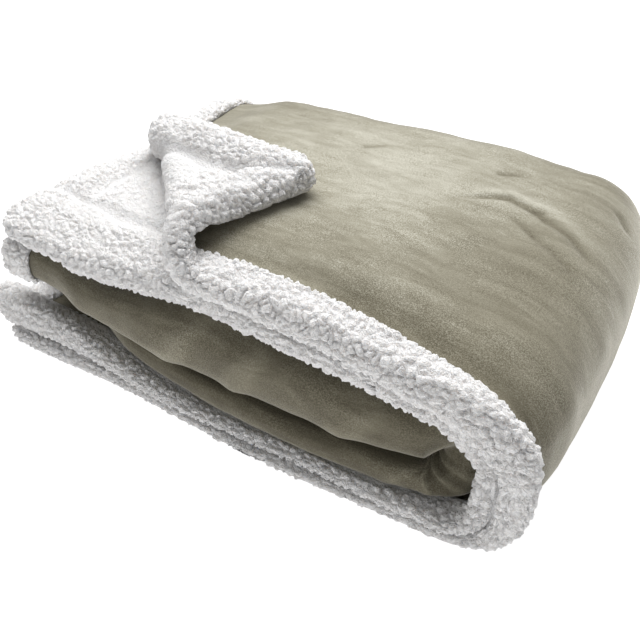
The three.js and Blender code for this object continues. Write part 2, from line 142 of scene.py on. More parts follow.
# Slow waves along the edges of the cloth: size, period and phase
WAVES = Row(
    far_edge=(3, 520, 0.8), roll=(3, 410, 2.1), outer_hem=(2.5, 330, 0.4),
    inner_hem=(2.5, 290, 1.9), end=(4, 610, 0.3), end_fine=(2, 240, 1.2),
)

# Lengths across the cloth, from one near hem round the folds to the other
ACROSS = np.array([396, 141, 344, 94, 352, 40, 404], float)
(OUTER, OUTER_BEND, MIDDLE, NEAR_ROLL, THIRD, INNER_BEND, SECOND) = range(7)
ACROSS_START = np.concatenate([[0], np.cumsum(ACROSS)[:-1]])
CLOTH = Row(length=2 * STRAIGHT + TURN.length, width=float(ACROSS.sum()))

# The corner of the outer layer that is turned back over the top
FLAP = Row(
    reach=200.0, heading=math.radians(44.5), radius=16.0, settle=4.0, over_hem=9.0, slide=-0.44,
    squeeze=0.5, squeeze_start=34, squeeze_end=76, stacked=60,
)
FLAP_U = math.sin(FLAP.heading)
FLAP_V = math.cos(FLAP.heading)

# How far the left ends of the layers are shifted to the right
SHIFT = table(
    "v top bottom",
    (0, 40, 0),
    (396, 2, 0),
    (537, -6, 0),
    (870, -12, 0),
    (980, -12, 0),
    (1400, -12, -10),
    (1771, -12, -14),
)

# Lines of the flat mesh, as (end, step): close together at the rims and in what shows
FAR_RIM_STEP = 5.2
ROUNDING = 1e-6
RIM_LINES = [0, 3, 8, 13.5, 19.5, 26, 32.5, 38, 40, 43.2, 46]
LINES_ALONG = [(130, 6), (533, 6.6), (723, 6.0), (960, 8.6), (1126, 8)]
LINES_ACROSS = [
    (110, 5.6), (396, 6.6), (537, 6.4), (881, 15), (975, 5.2), (1327, 16), (1367, 8), (1510, 13),
    (1725, 6),
]
FACE_ALONG = [(130, 9), (425, 6.6), (600, 3.1), (723, 5.5), (960, 10), (1126, 10)]
FACE_ACROSS = [
    (110, 7), (215, 6), (365, 3.2), (396, 6), (537, 6.4), (881, 18), (975, 4.6), (1327, 18),
    (1367, 8), (1725, 16),
]


# Small functions of numbers and of arrays of them
def lerp(a, b, t):
    return a + (b - a) * t


def smooth(x, start, end):
    """From 0 at the start to 1 at the end."""
    t = np.clip((x - start) / (end - start), 0, 1)
    return t * t * (3 - 2 * t)


def fade(x, span):
    """From 1 at the start of a span to 0 at its end."""
    return 1 - smooth(x, span.start, span.end)


def bell(distance, width):
    """From 1 at no distance, falling smoothly."""
    return np.exp(-((distance / width) ** 2))


def follow(rows, key, column, at):
    """A smooth curve through the rows of a table, by one of its columns."""
    xs, ys = rows[key], rows[column]
    last = len(xs) - 1
    place = np.clip(at, xs[0], xs[-1])
    i = np.searchsorted(xs[1:last], place, side="left")
    before = np.maximum(np.arange(last + 1) - 1, 0)
    after = np.minimum(np.arange(last + 1) + 1, last)
    slope = (ys[after] - ys[before]) / (xs[after] - xs[before])
    span = xs[i + 1] - xs[i]
    t = (place - xs[i]) / span
    s = 1 - t
    ends = s * s * (1 + 2 * t) * ys[i] + t * t * (3 - 2 * t) * ys[i + 1]
    return ends + span * t * s * (s * slope[i] - t * slope[i + 1])


def wander(at, wave):
    """How far a soft edge wanders, as a slow wave."""
    size, period, phase = wave
    return size * np.sin(2 * math.pi * at / period + phase)


RIPPLE = Row(shortest=0.7, longest=1.5, evenness=2.2)


def ripple(u, v, period, seed, waves=9):
    """Soft uneven lumps of about one size, from -1 to 1."""
    random = np.random.default_rng(seed)
    total = np.zeros(np.broadcast(u, v).shape)
    for _ in range(waves):
        angle = random.uniform(0, math.pi)
        pitch = period * random.uniform(RIPPLE.shortest, RIPPLE.longest)
        phase = random.uniform(0, 2 * math.pi)
        total += np.sin(2 * math.pi * (u * math.cos(angle) + v * math.sin(angle)) / pitch + phase)
    return total / math.sqrt(waves * RIPPLE.evenness)


def uneven(u, v, rows):
    """Ripples of several sizes, one for each row of a table."""
    return sum(
        height * ripple(u, v, period, int(seed))
        for height, period, seed in zip(rows.height, rows.period, rows.seed)
    )


# Where the cloth lies in the folded stack
def top_height(x, y):
    near = follow(PROFILE, "x", "top_near", x)
    far = follow(PROFILE, "x", "top_far", x)
    level = lerp(near, far, smooth(y, TOP_BLEND.start, TOP_BLEND.end))
    droop = NEAR_DROOP.height * (1 - smooth(y, 0, NEAR_DROOP.reach))
    lift = CREASE_LIFT.height * bell(x - CREASE_LIFT.x, CREASE_LIFT.spread) * fade(y, CREASE_LIFT)
    return level - droop + lift


def middle_height(x, y):
    near = follow(PROFILE, "x", "middle_near", x)
    far = follow(PROFILE, "x", "middle_far", x)
    sag = FRONT_SAG.drop * fade(y, FRONT_SAG) * smooth(x, FRONT_SAG.x_from, FRONT_SAG.x_to)
    return lerp(near, far, smooth(y, MIDDLE_BLEND.start, MIDDLE_BLEND.end)) - sag


def along_strip(u):
    """Where points of the cloth lie along the folded strip."""
    turned = np.clip((u - STRAIGHT) / TURN.length, 0, 1)
    on_top = turned < 0.5
    from_edge = np.where(on_top, u, CLOTH.length - u)
    left = np.where(on_top, STACK.left_top, STACK.left_bottom)
    end_hem = 1 - smooth(from_edge, SECTION.end_hem, SECTION.end_hem_blend)
    inner = lerp(SQUEEZE.top, SQUEEZE.bottom, smooth(turned, 0, 1))
    end = np.where(on_top, SQUEEZE.top_end, SQUEEZE.bottom_end)
    return Row(
        u=u,
        turned=turned,
        x=lerp(left, STACK.turn_centre, np.minimum(from_edge / STRAIGHT, 1)),
        squeeze=lerp(inner, end, end_hem),
        end_hem=end_hem,
    )


def part_of(strip, mask):
    return Row({name: values[mask] for name, values in strip.items()})


def turn_outline(turned, y):
    """The outline of the turn, from straight up, round the right-hand end, to straight down."""
    angle = math.pi * (0.5 - turned)
    upper = angle > 0
    power = np.where(upper, 2 / TURN.upper_power, 2 / TURN.lower_power)
    reach = follow(RIGHT_END, "y", "x", y) - STACK.turn_centre
    rise = np.where(upper, top_height(STACK.turn_centre, y) - STACK.widest, STACK.widest)
    x = STACK.turn_centre + reach * np.maximum(np.cos(angle), 0) ** power
    z = STACK.widest + np.sign(angle) * rise * np.abs(np.sin(angle)) ** power
    return x, z


def outer_reach(strip, y):
    """How far the outside of the stack is from its middle."""
    middle = middle_height(strip.x, y)
    rim_x, rim_z = turn_outline(strip.turned, y)
    in_turn = np.hypot(rim_x - STACK.turn_centre, rim_z - middle)
    flat = np.where(strip.turned <= 0, top_height(strip.x, y) - middle, middle)
    return np.where((strip.turned <= 0) | (strip.turned >= 1), flat, in_turn)


def lay_down(strip, x, y, h):
    """Points at height h above the middle of the stack, folded round the turn."""
    middle = middle_height(x, y)
    rim_x, rim_z = turn_outline(strip.turned, y)
    reach = outer_reach(strip, y)
    before, after = strip.turned <= 0, strip.turned >= 1
    turn_x = x + (rim_x - STACK.turn_centre) / reach * h
    turn_z = middle + (rim_z - middle) / reach * h
    z = np.where(before, middle + h, np.where(after, middle - h, turn_z))
    return np.where(before | after, x, turn_x), y, z


def plumpness(strip, hem, from_edge):
    peak = follow(RIM, "u", hem, strip.u)
    return 1 + (peak - 1) * fade(from_edge, PLUMP_FADE)


def hem_above(plump):
    return HEM / 2 - BODY_MIDDLE + HEM / 2 * plump


def hem_below(plump):
    return BODY_MIDDLE - HEM / 2 + HEM / 2 * plump


def layer_heights(strip, y):
    """Heights of the middle of each layer above the middle of the stack."""
    reach = outer_reach(strip, y)
    k = strip.squeeze
    outer_plump = plumpness(strip, "outer", y)
    inner_plump = plumpness(strip, "inner", y)
    near_hem = 1 - smooth(y, BORDER.width, SECTION.hem_blend)
    any_hem = 1 - (1 - near_hem) * (1 - strip.end_hem)
    face_above = lerp(BODY_MIDDLE, hem_above(1), strip.end_hem)
    free_outer = reach - k * BODY_MIDDLE
    free_inner = INNER_GAP + k * BODY_MIDDLE
    pitch = (free_outer - free_inner) / 3
    second_at_hem = reach - k * (HEM * outer_plump + hem_below(inner_plump)) - SECTION.layer_gap
    share = lerp(1, SECTION.lower_clearance, strip.turned)
    clearance = SECTION.roll_clearance * share * near_hem * (1 - strip.end_hem)
    below_hems = 2 * SECTION.layer_gap + clearance
    third_at_hem = reach - k * (HEM * (outer_plump + inner_plump) + face_above) - below_hems
    return Row(
        outer=reach - k * lerp(BODY_MIDDLE, hem_above(outer_plump), any_hem),
        second=lerp(free_outer - pitch, second_at_hem, any_hem),
        third=lerp(free_outer - 2 * pitch, third_at_hem, any_hem),
        inner=INNER_GAP + k * face_above,
    )


def bend(t, centre_y, half_width, start, end, facing, outside, power=2):
    """Half an oval from one layer to the next, and the way the cloth's face looks."""
    angle = math.pi * t
    half_height = np.abs(start - end) / 2
    down = np.sign(start - end)
    across = np.maximum(np.sin(angle), 0)
    upright = np.abs(np.cos(angle))
    sense = down * np.sign(np.cos(angle))
    ny = facing * half_height * across ** (2 - 2 / power)
    nh = sense * half_width * upright ** (2 - 2 / power)
    size = np.hypot(ny, nh) * outside
    y = centre_y + facing * half_width * across ** (2 / power)
    h = (start + end) / 2 + sense * half_height * upright ** (2 / power)
    return y, h, ny / size, nh / size


def hem_place(strip, edge, centre, t, length):
    """The near rims: the border is crowded towards its edge where the strip turns."""
    crowd = follow(RIM, "u", "crowd", strip.u) * BORDER.width
    from_edge = t * length
    gathered = smooth(from_edge, 0, BORDER.width) - smooth(from_edge, BORDER.width, CROWD_REACH)
    return lerp(edge, centre, t) - crowd * gathered


def section_run(run, strip, t):
    """Points of the cloth's middle surface in one run of the section."""
    length = ACROSS[run]
    thick = strip.squeeze * lerp(BODY_MIDDLE, hem_above(1), strip.end_hem)
    far_edge = STACK.depth - thick + wander(strip.u, WAVES.far_edge)
    outer_centre = far_edge - SECTION.far_bend
    at_far = layer_heights(strip, outer_centre)
    inner_half = (at_far.second - at_far.third) / 2
    inner_centre = far_edge - SECTION.inner_far_bend + BODY_MIDDLE - inner_half
    at_near = layer_heights(strip, np.full_like(strip.u, SECTION.roll_sample))
    roll_half = (at_near.third - at_near.inner) / 2
    bulk = smooth(roll_half, SECTION.bulk_start, SECTION.bulk_end)
    roll_width = roll_half * lerp(1, SECTION.roll_fullness, bulk)
    roll_edge = follow(RIM, "u", "roll", strip.u) + wander(strip.u, WAVES.roll)
    roll_centre = roll_edge + thick + roll_width
    forward = follow(RIM, "u", "forward", strip.u)
    outer_hem = wander(strip.u, WAVES.outer_hem) - forward
    set_back = lerp(INNER_SET_BACK.top, INNER_SET_BACK.bottom, smooth(strip.turned, 0, 1))
    inner_hem = wander(strip.u, WAVES.inner_hem) - forward + set_back

    def flat(y, layer, facing):
        return y, layer_heights(strip, y)[layer], np.zeros_like(y), np.full_like(y, facing)

    if run == OUTER:
        return flat(hem_place(strip, outer_hem, outer_centre, t, length), "outer", 1)
    if run == OUTER_BEND:
        return bend(t, outer_centre, SECTION.far_bend, at_far.outer, at_far.inner, 1, 1)
    if run == MIDDLE:
        return flat(lerp(outer_centre, roll_centre, t), "inner", -1)
    if run == NEAR_ROLL:
        at = layer_heights(strip, roll_centre)
        power = lerp(SECTION.roll_power, SECTION.lower_roll_power, smooth(strip.turned, 0, 1))
        return bend(t, roll_centre, roll_width, at.inner, at.third, -1, 1, power)
    if run == THIRD:
        return flat(lerp(roll_centre, inner_centre, t), "third", 1)
    if run == INNER_BEND:
        at = layer_heights(strip, inner_centre)
        return bend(t, inner_centre, inner_half, at.third, at.second, 1, -1)
    return flat(hem_place(strip, inner_hem, inner_centre, 1 - t, length), "second", -1)


def section_point(strip, v):
    """Points of the cloth's middle surface, and the way its face looks: y, h, ny, nh."""
    run_of = np.clip(np.searchsorted(ACROSS_START, v, side="left") - 1, 0, len(ACROSS) - 1)
    out = np.zeros((4, len(v)))
    for run in range(len(ACROSS)):
        mask = run_of == run
        if mask.any():
            t = (v[mask] - ACROSS_START[run]) / ACROSS[run]
            out[:, mask] = section_run(run, part_of(strip, mask), t)
    return out


def past_crease(u, v):
    return FLAP.reach - (FLAP_U * u + FLAP_V * v)


def from_fold(u, v):
    """How far from the middle of the turned-back corner's fold."""
    return np.abs(past_crease(u, v) - FLAP.radius * math.pi / 2)


def turn_back(u, v, offset):
    """The turned-back corner rolls over its crease and lies face down."""
    r = FLAP.radius
    past = past_crease(u, v)
    angle = np.minimum(past / r, math.pi)
    beyond = np.maximum(past - math.pi * r, 0)
    inward = FLAP.reach - np.sin(angle) * (r - offset) + beyond
    along = FLAP_U * v - FLAP_V * u + FLAP.slide * beyond
    back_u = FLAP_U * inward - FLAP_V * along
    back_v = FLAP_V * inward + FLAP_U * along
    on_hem = 1 - smooth(np.minimum(back_u, back_v), BORDER.width, SECTION.hem_blend)
    rest = FLAP.over_hem * on_hem - FLAP.settle * (1 - on_hem)
    lift = r - np.cos(angle) * (r - offset) + rest * smooth(angle, 0, math.pi)
    return back_u, back_v, lift


def shifted(u, u0, v0):
    """The place along the strip for points of a layer that is shifted at the left end."""
    on_top = u0 < CLOTH.length / 2
    from_edge = np.where(on_top, u0, CLOTH.length - u0)
    shift = np.where(on_top, follow(SHIFT, "v", "top", v0), follow(SHIFT, "v", "bottom", v0))
    shift = shift * (1 - smooth(from_edge, 0, STRAIGHT))
    return along_strip(np.where(on_top, u + shift, u - shift))


def round_corner(u, v):
    """The corners of the cloth are cut and sewn round."""
    radius = BORDER.corner_radius
    from_u = np.minimum(u, CLOTH.length - u)
    from_v = np.minimum(v, CLOTH.width - v)
    a, b = radius - from_u, radius - from_v
    corner = (a > 0) & (b > 0)
    pull = np.where(corner, np.maximum(a, b) / np.maximum(np.hypot(a, b), TINY), 1)
    near_u = np.where(corner, radius - a * pull, from_u)
    near_v = np.where(corner, radius - b * pull, from_v)
    return (
        np.where(u < CLOTH.length / 2, near_u, CLOTH.length - near_u),
        np.where(v < CLOTH.width / 2, near_v, CLOTH.width - near_v),
    )


def edge_distance(u, v):
    return np.minimum(np.minimum(u, v), np.minimum(CLOTH.length - u, CLOTH.width - v))


def through_cloth(u, v, w):
    """Height from the middle of the cloth's body: the rim is rounded and plump, blunter on
    the side that faces another hem, and flatter where the turned-back corner creases it."""
    edge = edge_distance(u, v)
    opened = np.minimum(edge / BORDER.rim_radius, 1)
    arc = np.sqrt(1 - (1 - opened) ** 2)
    strip = along_strip(u)
    outer_plump = plumpness(strip, "outer", v)
    inner_plump = plumpness(strip, "inner", CLOTH.width - v)
    on_outer_top = (v < ACROSS[OUTER]) & (u < STRAIGHT)
    at_corner = np.where(on_outer_top, fade(v, CORNER_PLUMP), 0)
    end_plump = 1 + CORNER_PLUMP.rise * at_corner * fade(u, PLUMP_FADE)
    plumps = np.stack(np.broadcast_arrays(outer_plump, inner_plump, end_plump))
    plump = np.where(plumps.max(0) > 1, plumps.max(0), plumps.min(0))
    pressed_side = (w < HEM / 2) & (edge == np.minimum(v, CLOTH.width - v))
    stacked = 1 - smooth(past_crease(u, v), -FLAP.stacked, 0)
    round_part, flat_part = lerp(BORDER.rim_blunt, 1, arc), lerp(BORDER.inner_blunt, 1, arc)
    round_part = np.where(pressed_side, lerp(round_part, flat_part, stacked), round_part)
    offset = HEM / 2 - BODY_MIDDLE + (w - HEM / 2) * round_part * plump
    seat = BORDER_LOW - BODY_MIDDLE
    pressed = FLAP.squeeze * (1 - smooth(from_fold(u, v), FLAP.squeeze_start, FLAP.squeeze_end))
    pressed = np.where((offset < seat) | ~on_outer_top, 0, pressed)
    return np.where(offset < seat, offset, seat + (offset - seat) * (1 - pressed))


def place(flat_u, flat_v, w, relief):
    """Points of the flat cloth, at height w through it, where they lie in the folded stack."""
    u, v = round_corner(flat_u, flat_v)
    offset = through_cloth(flat_u, flat_v, w) + relief
    past = np.maximum(past_crease(u, v), 0)
    turned = past > 0
    back_u, back_v, lift = turn_back(u, v, offset)
    at_u = np.where(turned, back_u, u)
    at_v = np.where(turned, np.maximum(back_v, 0), v)
    strip = shifted(at_u, u + FLAP_U * past, v + FLAP_V * past)
    y, h, ny, nh = section_point(strip, at_v)
    stand = strip.squeeze * offset
    ragged = np.where(turned, 0, strip.end_hem * (wander(v, WAVES.end) + wander(v, WAVES.end_fine)))
    y = np.where(turned, y + np.minimum(back_v, 0), y + ny * stand)
    h = np.where(turned, h + lift, h + nh * stand)
    x, y, z = lay_down(strip, strip.x + ragged, y, h)
    return np.stack([x, y, np.maximum(z, 0)], axis=-1) + STACK_TO_PART


# The flat mesh and the closed shells that are made of it
def put(name, data):
    """A new object in the scene."""
    made = bpy.data.objects.new(name, data)
    bpy.context.scene.collection.objects.link(made)
    return made


def flat_lines(rows, length):
    """Places of the lines from one edge of the cloth to the other."""
    lines = list(RIM_LINES)
    far_rim = [length - x for x in reversed(RIM_LINES)]
    for end, step in [*rows, (far_rim[0], FAR_RIM_STEP)]:
        count = max(1, math.ceil((end - lines[-1]) / step - ROUNDING))
        lines.extend(np.linspace(lines[-1], end, count + 1)[1:])
    return np.array(lines[:-1] + far_rim)


def cloth_shell(name, levels, filled, relief, rows_along, rows_across):
    """A closed shell of the folded cloth. A level gives heights through the cloth, and
    filled says which of the layers between two levels is there, by distance from the edge."""
    along = flat_lines(rows_along, CLOTH.length)
    across = flat_lines(rows_across, CLOTH.width)
    u, v = (a.ravel() for a in np.meshgrid(along, across, indexing="ij"))
    edge = edge_distance(u, v)
    count = len(u)
    spots = [place(u, v, level(edge), relief(u, v, k)) for k, level in enumerate(levels)]
    spots = np.concatenate(spots)
    halfway = [(lines[1:] + lines[:-1]) / 2 for lines in (along, across)]
    cell_edge = edge_distance(*np.meshgrid(*halfway, indexing="ij"))
    has = [filled(k, cell_edge) for k in range(len(levels) - 1)]
    nothing = np.zeros_like(has[0])
    index = np.arange(count).reshape(len(along), len(across))
    c0, c1, c2, c3 = index[:-1, :-1], index[1:, :-1], index[1:, 1:], index[:-1, 1:]
    quads = []
    for k, solid in enumerate(has):
        low, high = k * count, (k + 1) * count
        above = has[k + 1] if k + 1 < len(has) else nothing
        below = has[k - 1] if k else nothing
        top, bottom = solid & ~above, solid & ~below
        quads.append(np.stack([c[top] + high for c in (c0, c1, c2, c3)], axis=-1))
        quads.append(np.stack([c[bottom] + low for c in (c0, c3, c2, c1)], axis=-1))
        padded = np.pad(solid, 1)
        for a, b, di, dj in ((c0, c1, 0, -1), (c1, c2, 1, 0), (c2, c3, 0, 1), (c3, c0, -1, 0)):
            beyond = padded[1 + di : 1 + di + solid.shape[0], 1 + dj : 1 + dj + solid.shape[1]]
            wall = solid & ~beyond
            corners = (a[wall] + low, b[wall] + low, b[wall] + high, a[wall] + high)
            quads.append(np.stack(corners, axis=-1))
    quads = np.concatenate(quads)
    used, quads = np.unique(quads, return_inverse=True)
    quads = quads.reshape(-1, 4)
    mesh = bpy.data.meshes.new(name)
    mesh.vertices.add(len(used))
    mesh.vertices.foreach_set("co", (spots[used] * MM).ravel())
    mesh.loops.add(quads.size)
    mesh.loops.foreach_set("vertex_index", quads.ravel())
    mesh.polygons.add(len(quads))
    mesh.polygons.foreach_set("loop_start", np.arange(len(quads)) * 4)
    mesh.update(calc_edges=True)
    mesh.validate()
    flat_uv = mesh.uv_layers.new(name="flat_cloth")
    where = used[quads.ravel()] % count
    flat_uv.uv.foreach_set("vector", (np.stack([u[where], v[where]], axis=-1) * MM).ravel())
    mesh.polygons.foreach_set("use_smooth", np.ones(len(quads), bool))
    piece = put(name, mesh)
    facts = Row(u=u[used % count], v=v[used % count], level=used // count)
    return piece, facts


# Camera, as the photograph was taken
CAMERA = Row(
    sensor=36.0, focal_pixels=818, frame_pixels=640, heading=math.radians(32.4),
    height=math.radians(36.3), place=(0.4424, -0.7021, 0.625), nearest=0.01, farthest=50,
)


def make_camera():
    data = bpy.data.cameras.new("camera")
    camera = put("camera", data)
    data.sensor_width = CAMERA.sensor
    data.lens = CAMERA.sensor * CAMERA.focal_pixels / CAMERA.frame_pixels
    data.clip_start, data.clip_end = CAMERA.nearest, CAMERA.farthest
    level, down = math.cos(CAMERA.height), -math.sin(CAMERA.height)
    view = Vector((-math.sin(CAMERA.heading) * level, math.cos(CAMERA.heading) * level, down))
    camera.location = CAMERA.place
    camera.rotation_mode = "QUATERNION"
    camera.rotation_quaternion = view.to_track_quat("-Z", "Y")
    bpy.context.scene.camera = camera


# The sewn groove runs along the rims. At the two open corners of the left end it runs
# farther in, along lines through places on the flat cloth.
SEAM_GROOVE = Row(depth=6.0, deepest=10.5, width=6.5, at=44.0)
OPEN_END = Row(start=240, end=330)
TURNED_CORNER = Row(start=240, end=300)
SECOND_CORNER = Row(seam_start=1430, seam_end=1490, rim_start=1380, rim_end=1480)
SEWN_GROOVES = lines_on_cloth(
    [(60, 215, 7, 3), (70, 157, 9, 9.5), (87, 77, 9, 10), (66, 35, 9, 9.5), (46, 13, 7, 6)],
    [(235, 62, 7, 3), (164, 47, 9, 9.5), (117, 21, 9, 8.5)],
    [(12, 1676, 7, 6), (60, 1680, 8, 10), (230, 1680, 8, 10), (320, 1700, 7, 3)],
    [(62, 1660, 7, 7), (58, 1560, 7, 9), (60, 1450, 7, 7)],
)

# How far in from their edge the rims are filled out, and how high
PUFF = Row(
    plain=(SEAM_GROOVE.at - 4, 2.0), turned_end=(70, 13.0), turned_side=(44, 11.0),
    second_side=(88, 9.0), second_end=(56, 6.0), far_end=(BORDER.width, 6.0),
)
FAR_END = Row(reach=60, start=180, end=260)
PRESSED_FOLD = Row(puff=0.35, start=14, end=62)
PUFF_POWER = 0.7

# Soft lumps of the two cloths, all over
SHERPA_LUMPS = table("height period seed", (1.1, 34, 3), (0.8, 15, 4))
UNDERSIDE_LUMPS = 0.7
PLUSH_WAVES = table("height period seed", (0.9, 90, 5), (0.45, 38, 6))

# The plush is pressed down beside the border where the cloth turns
BESIDE_BORDER = Row(depth=2.6, width=9.0, at=58.0, edge_start=44, edge_end=54, across=200)
BORDER_TURN = Row(rise=200, full=420, start=760, end=840)
HIGHEST_FOLD = 6
THINNEST_FACE = 0.1

# Light and shade painted into the plush's colour (lighter above 0, darker below), and how much
PAINTED_LIGHT = Row(in_folds=0.12, lightest_fold=0.24, darkest_fold=0.4, in_rolls=0.39, in_turn=0.1, beside=0.22)
# A broad painted sheen on the top of the plush
PAINTED_SHEEN = Row(u=340.0, v=300.0, length=200.0, width=130.0, tone=0.3)
# The span of painted shade in the rolls, which lie under the top's overhang
ROLL_SHADE = Row(rise=800, full=860, start=1050, end=1100)
# The span of painted shade at the turn
TURN_SHADE = Row(start=450, end=560, across=600)
# Where the border's shadow is painted beside it, and how wide
BESIDE_SHADE = Row(start=260, end=460, width=18)

# Ridges (below 0) and troughs (above 0) of the plush: the first five and the last one lie
# on the top, and the others in the rolls
# Along these lines the plush's colour also gets painted shade in the troughs and painted highlights on
# the ridges
PLUSH_FOLDS = lines_on_cloth(
    [
        (440, 266, 4, 0.8), (461, 280, 4, 3.0), (487, 296, 4.4, 3.6),
        (525, 286, 4.4, 3.6), (551, 266, 4, 3.0), (567, 242, 4, 1.0),
    ],
    [(505, 262, 4, 1.2), (530, 246, 4, 2.4), (560, 215, 4, 1.2)],
    [(570, 354, 4, 2.0), (580, 341, 4, 1.6)],
    [(287, 328, 4.5, 2.2), (308, 337, 4.5, 1.6)],
    [(457, 340, 4, 2.2), (487, 356, 4, 1.2)],
    [(205, 885, 9, -1.2), (240, 905, 10, -3.4), (275, 930, 9, -2.4), (300, 955, 8, -0.8)],
    [(312, 885, 10, -1.5), (335, 915, 11, -4.4), (368, 945, 9, -1.8)],
    [(425, 885, 9, -1.0), (455, 912, 10, -3.4), (492, 940, 8, -1.4)],
    [(545, 890, 8, -1.2), (572, 925, 8, -2.6), (600, 950, 6, -1.0)],
    [(630, 888, 5, -1.6), (648, 915, 5, -3.8), (655, 950, 4.5, -1.6)],
    [(660, 880, 4.5, -1.8), (678, 905, 4.5, -4.0), (676, 945, 4.5, -2.0)],
    [(690, 880, 4.5, -2.2), (706, 910, 4.5, -4.0), (716, 948, 4.5, -1.6)],
    [(722, 886, 4.5, -1.6), (742, 925, 4.5, -3.2), (752, 950, 4.5, -1.2)],
    [(455, 290, 6, -0.8), (485, 309, 7, -1.8), (530, 299, 7, -1.8), (562, 272, 6, -0.8)],
)


def along_lines(rows, u, v):
    """Soft relief along lines, widest and deepest as their rows say."""
    total = np.zeros(np.broadcast(u, v).shape)
    for line in np.unique(rows.line):
        at = np.flatnonzero(rows.line == line)
        relief = np.zeros_like(total)
        for a, b in zip(at[:-1], at[1:]):
            du, dv = rows.u[b] - rows.u[a], rows.v[b] - rows.v[a]
            t = np.clip(((u - rows.u[a]) * du + (v - rows.v[a]) * dv) / (du * du + dv * dv), 0, 1)
            away = np.hypot(u - rows.u[a] - t * du, v - rows.v[a] - t * dv)
            depth = lerp(rows.depth[a], rows.depth[b], t)
            part = depth * bell(away, lerp(rows.width[a], rows.width[b], t))
            relief = np.where(np.abs(part) > np.abs(relief), part, relief)
        total += relief
    return total


def sewn_groove(u, v):
    """How deep the sewn groove is at places on the flat cloth."""
    second = smooth(v, SECOND_CORNER.seam_start, SECOND_CORNER.seam_end)
    at_corner = fade(u, OPEN_END) * np.maximum(fade(v, TURNED_CORNER), second)
    ring = bell(edge_distance(u, v) - SEAM_GROOVE.at, SEAM_GROOVE.width) * (1 - at_corner)
    deep = np.maximum(SEAM_GROOVE.depth * ring, along_lines(SEWN_GROOVES, u, v))
    return np.clip(deep, 0, SEAM_GROOVE.deepest)


def puff(distance, rim):
    """A rim filled out between its edge and its groove."""
    width, height = rim
    return height * np.sin(math.pi * np.clip(distance / width, 0, 1)) ** PUFF_POWER


def rim_puff(u, v):
    """How far the rims are filled out on the cloth's underside."""
    turned = fade(u, OPEN_END) * fade(v, TURNED_CORNER)
    second = fade(u, OPEN_END) * smooth(v, SECOND_CORNER.rim_start, SECOND_CORNER.rim_end)
    plain = puff(edge_distance(u, v), PUFF.plain) * (1 - turned) * (1 - second)
    pressed = smooth(from_fold(u, v), PRESSED_FOLD.start, PRESSED_FOLD.end)
    on_turned = np.maximum(puff(u, PUFF.turned_end), puff(v, PUFF.turned_side)) * turned
    on_second = np.maximum(puff(CLOTH.width - v, PUFF.second_side), puff(u, PUFF.second_end)) * second
    return plain + on_turned * lerp(PRESSED_FOLD.puff, 1, pressed) + on_second


def sherpa_relief(u, v, level):
    lumps = uneven(u, v, SHERPA_LUMPS)
    if level == UNDERSIDE:
        return lumps * UNDERSIDE_LUMPS + sewn_groove(u, v) - rim_puff(u, v)
    if level == BORDER_TOP:
        far_end = smooth(v, FAR_END.start, FAR_END.end) * (u < FAR_END.reach) * (v < ACROSS[OUTER])
        return lumps + puff(u, PUFF.far_end) * far_end
    return 0 * u


def painted_light_tone(u, v):
    """Light and shade painted on the plush: a broad sheen, its folds, and shade in the rolls, turn and
    border.
    """
    # A broad painted sheen on the top
    light = bell(u - PAINTED_SHEEN.u, PAINTED_SHEEN.length) * bell(v - PAINTED_SHEEN.v, PAINTED_SHEEN.width)
    # Painted shade in the troughs of the folds and painted highlights on their ridges
    folds = np.clip(-PAINTED_LIGHT.in_folds * along_lines(PLUSH_FOLDS, u, v), -PAINTED_LIGHT.darkest_fold, PAINTED_LIGHT.lightest_fold)
    # Painted shade in the rolls, under the overhang of the top
    in_rolls = smooth(v, ROLL_SHADE.rise, ROLL_SHADE.full) * fade(v, ROLL_SHADE)
    # Painted shade at the turn
    in_turn = smooth(u, TURN_SHADE.start, TURN_SHADE.end) * (v < TURN_SHADE.across)
    # Painted shadow of the border on the plush beside it
    beside = bell(edge_distance(u, v) - BESIDE_BORDER.at, BESIDE_SHADE.width)
    beside = beside * smooth(u, BESIDE_SHADE.start, BESIDE_SHADE.end)
    darker = PAINTED_LIGHT.in_rolls * in_rolls + PAINTED_LIGHT.in_turn * in_turn + PAINTED_LIGHT.beside * beside
    return PAINTED_SHEEN.tone * light + folds - darker


def face_relief(u, v, level):
    if level == UNDERSIDE:
        return 0 * u
    by = BESIDE_BORDER
    edge = edge_distance(u, v)
    beside = by.depth * bell(edge - by.at, by.width) * smooth(edge, by.edge_start, by.edge_end)
    at_turn = smooth(u, BORDER_TURN.rise, BORDER_TURN.full) * fade(u, BORDER_TURN) * (v < by.across)
    sunk = np.maximum(along_lines(PLUSH_FOLDS, u, v) + beside * at_turn, -HIGHEST_FOLD)
    return uneven(u, v, PLUSH_WAVES) - np.minimum(sunk, PILE.face * (1 - THINNEST_FACE))


def border_top(edge):
    """Height of the turned-over border: it falls in a round shoulder to its sewn lip."""
    fall = np.clip((edge - (BORDER.width - BORDER.shoulder)) / BORDER.shoulder, 0, 1)
    return BORDER_LOW + BORDER.lip + (PILE.border - BORDER.lip) * np.sqrt(1 - fall**2)


def flat_level(height):
    return lambda edge: np.full_like(edge, height)


def make_sherpa():
    """The backing, with its border turned over the edge. The face goes in between them."""

    def filled(k, edge):
        if k == BELOW_BORDER - 1:
            return edge < BORDER.width - BORDER.tuck
        return edge < (BORDER.width if k >= BELOW_BORDER else CLOTH.width)

    heights = (0, PILE.sherpa / 2, PILE.sherpa, BORDER_LOW)
    levels = [flat_level(height) for height in heights] + [border_top]
    return cloth_shell("sherpa_backing", levels, filled, sherpa_relief, LINES_ALONG, LINES_ACROSS)


